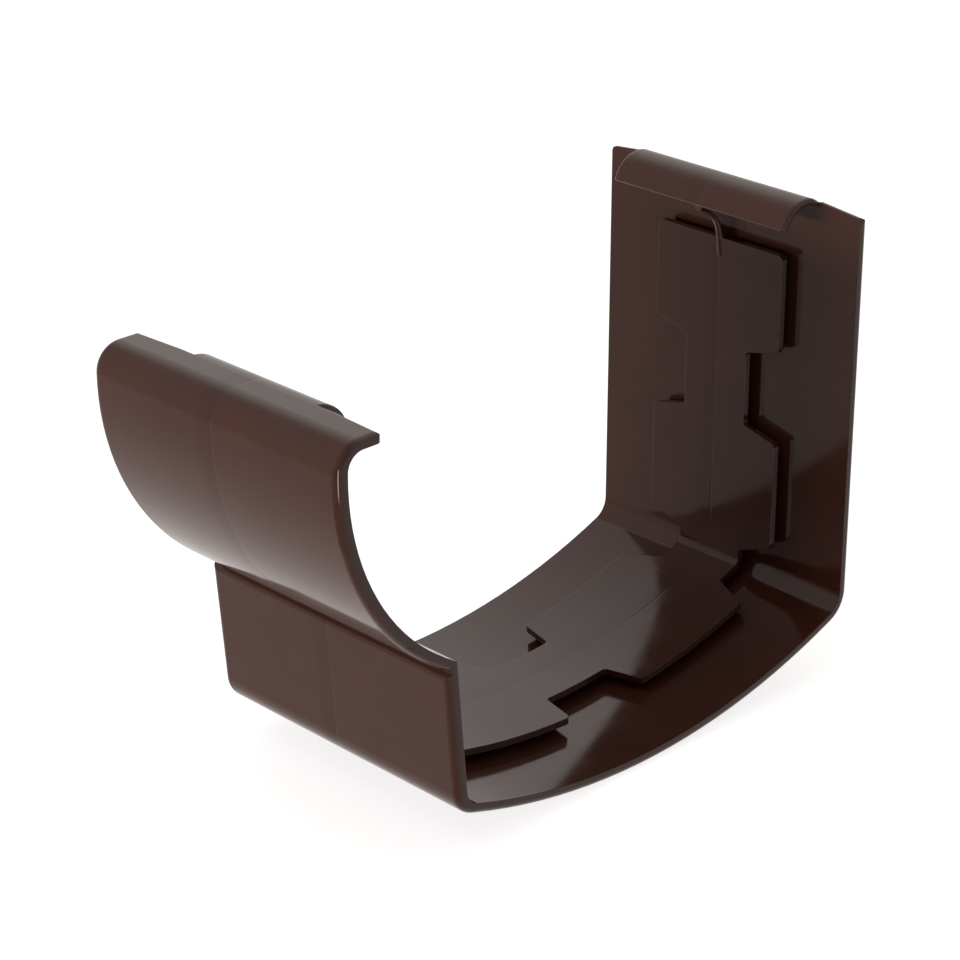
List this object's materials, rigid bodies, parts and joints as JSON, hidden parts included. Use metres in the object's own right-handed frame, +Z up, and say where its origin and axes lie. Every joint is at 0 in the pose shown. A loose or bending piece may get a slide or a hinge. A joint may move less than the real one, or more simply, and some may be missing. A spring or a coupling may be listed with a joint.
{
  "type": "gutter connector",
  "caption": "Moulded plastic connector that joins lengths of square-back gutter, with an outer shell, a notched inner band, a stop web between them and a hook along each top edge.",
  "frame": {"origin": "On the flat back face, at mid-length and about half way up the flat.", "axes": "+X runs along the gutter, +Y is the outward normal of the flat back, +Z is up. The front bulge and its lip are towards -Y."},
  "size_m": [0.07, 0.147, 0.1061],
  "materials": {
    "brown_plastic": "glossy moulded"
  },
  "bodies": {
    "root": {"gutter_connector": "brown_plastic"}
  },
  "joints": []
}
